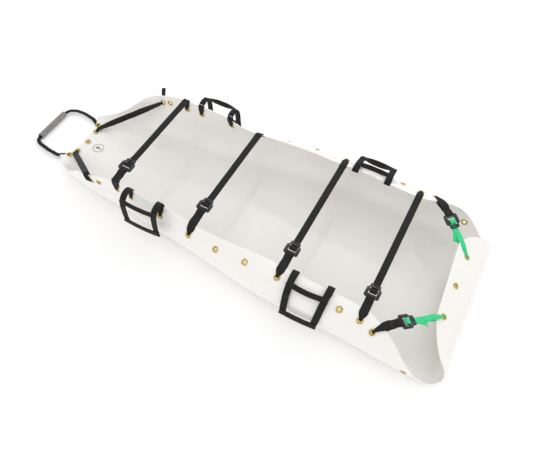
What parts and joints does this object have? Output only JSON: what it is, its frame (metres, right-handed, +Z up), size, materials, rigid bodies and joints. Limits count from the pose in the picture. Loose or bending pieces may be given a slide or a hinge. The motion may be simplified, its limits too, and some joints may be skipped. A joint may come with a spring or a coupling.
{
  "type": "roll-up drag stretcher",
  "caption": "Roll-up rescue drag stretcher: a curled plastic sheet with brass grommets, buckled cross straps, foot straps, webbing carry handles and a tube drag handle.",
  "frame": {"origin": "on the underside of the floor, at the middle of the sheet's length on the ground and on its centre line", "axes": "+X from the head end to the foot end, +Y from the left wall to the right wall, +Z up"},
  "size_m": [2.1255, 0.8372, 0.2444],
  "materials": {
    "sheet": "satin, slightly translucent",
    "grommet_brass": "polished",
    "black_webbing": "woven",
    "handle_webbing": "woven",
    "thin_webbing": "woven",
    "green_webbing": "woven",
    "buckle_plastic": "moulded",
    "bar_plastic": "moulded",
    "tube_plastic": "extruded tube"
  },
  "bodies": {
    "stretcher": {"drag_handle_anchor_left": "thin_webbing", "drag_handle_anchor_right": "thin_webbing", "foot_strap_left_buckle": "buckle_plastic", "foot_strap_left_long_webbing": "green_webbing", "foot_strap_left_short_webbing": "black_webbing", "foot_strap_right_buckle": "buckle_plastic", "foot_strap_right_long_webbing": "green_webbing", "foot_strap_right_short_webbing": "black_webbing", "grommets_foot_flap": "grommet_brass", "grommets_head_end": "grommet_brass", "grommets_left_wall": "grommet_brass", "grommets_right_wall": "grommet_brass", "handle_left_foot_anchors": "handle_webbing", "handle_left_head_anchors": "handle_webbing", "handle_right_foot_anchors": "handle_webbing", "handle_right_head_anchors": "handle_webbing", "head_lashing_left": "thin_webbing", "head_lashing_right": "thin_webbing", "sheet_body": "sheet", "strap_1_buckle": "buckle_plastic", "strap_1_long_webbing": "black_webbing", "strap_1_short_webbing": "black_webbing", "strap_2_buckle": "buckle_plastic", "strap_2_long_webbing": "black_webbing", "strap_2_short_webbing": "black_webbing", "strap_3_buckle": "buckle_plastic", "strap_3_long_webbing": "black_webbing", "strap_3_short_webbing": "black_webbing", "strap_4_buckle": "buckle_plastic", "strap_4_long_webbing": "black_webbing", "strap_4_short_webbing": "black_webbing"},
    "strap_1_bar": {"strap_1_friction_bar": "bar_plastic"},
    "strap_2_bar": {"strap_2_friction_bar": "bar_plastic"},
    "strap_3_bar": {"strap_3_friction_bar": "bar_plastic"},
    "strap_4_bar": {"strap_4_friction_bar": "bar_plastic"},
    "foot_strap_left_bar": {"foot_strap_left_friction_bar": "bar_plastic"},
    "foot_strap_right_bar": {"foot_strap_right_friction_bar": "bar_plastic"},
    "handle_left_head": {"handle_left_head_grip": "handle_webbing"},
    "handle_left_foot": {"handle_left_foot_grip": "handle_webbing"},
    "handle_right_head": {"handle_right_head_grip": "handle_webbing"},
    "handle_right_foot": {"handle_right_foot_grip": "handle_webbing"},
    "drag_handle": {"drag_handle_webbing": "thin_webbing"},
    "drag_tube": {"drag_handle_tube_grip": "tube_plastic"}
  },
  "joints": [
    {"name": "strap_1_bar_slide", "type": "slide", "parent": "stretcher", "child": "strap_1_bar", "axis": [0, 1, 0], "range_m": [-0.006, 0.002]},
    {"name": "strap_2_bar_slide", "type": "slide", "parent": "stretcher", "child": "strap_2_bar", "axis": [0, 1, 0], "range_m": [-0.006, 0.002]},
    {"name": "strap_3_bar_slide", "type": "slide", "parent": "stretcher", "child": "strap_3_bar", "axis": [0, 1, 0], "range_m": [-0.006, 0.002]},
    {"name": "strap_4_bar_slide", "type": "slide", "parent": "stretcher", "child": "strap_4_bar", "axis": [0, 1, 0], "range_m": [-0.006, 0.002]},
    {"name": "foot_strap_left_bar_slide", "type": "slide", "parent": "stretcher", "child": "foot_strap_left_bar", "axis": [0.6799, 0.695, -0.2338], "range_m": [-0.006, 0.002]},
    {"name": "foot_strap_right_bar_slide", "type": "slide", "parent": "stretcher", "child": "foot_strap_right_bar", "axis": [0.7131, -0.6605, -0.2352], "range_m": [-0.006, 0.002]},
    {"name": "handle_left_head_swing", "type": "hinge", "parent": "stretcher", "child": "handle_left_head", "pos_m": [-0.395, -0.2913, 0.2304], "axis": [-1, 0, 0], "range_deg": [0, 100]},
    {"name": "handle_left_foot_swing", "type": "hinge", "parent": "stretcher", "child": "handle_left_foot", "pos_m": [0.375, -0.2989, 0.2001], "axis": [-1, 0, 0], "range_deg": [0, 100]},
    {"name": "handle_right_head_swing", "type": "hinge", "parent": "stretcher", "child": "handle_right_head", "pos_m": [-0.395, 0.2913, 0.2304], "axis": [1, 0, 0], "range_deg": [0, 100]},
    {"name": "handle_right_foot_swing", "type": "hinge", "parent": "stretcher", "child": "handle_right_foot", "pos_m": [0.375, 0.2879, 0.2001], "axis": [1, 0, 0], "range_deg": [0, 100]},
    {"name": "drag_handle_swing", "type": "hinge", "parent": "stretcher", "child": "drag_handle", "pos_m": [-1, 0, 0.015], "axis": [0, 1, 0], "range_deg": [0, 110]},
    {"name": "drag_tube_spin", "type": "hinge", "parent": "drag_handle", "child": "drag_tube", "pos_m": [-1.145, 0, 0.015], "axis": [0, 1, 0], "continuous": true}
  ]
}
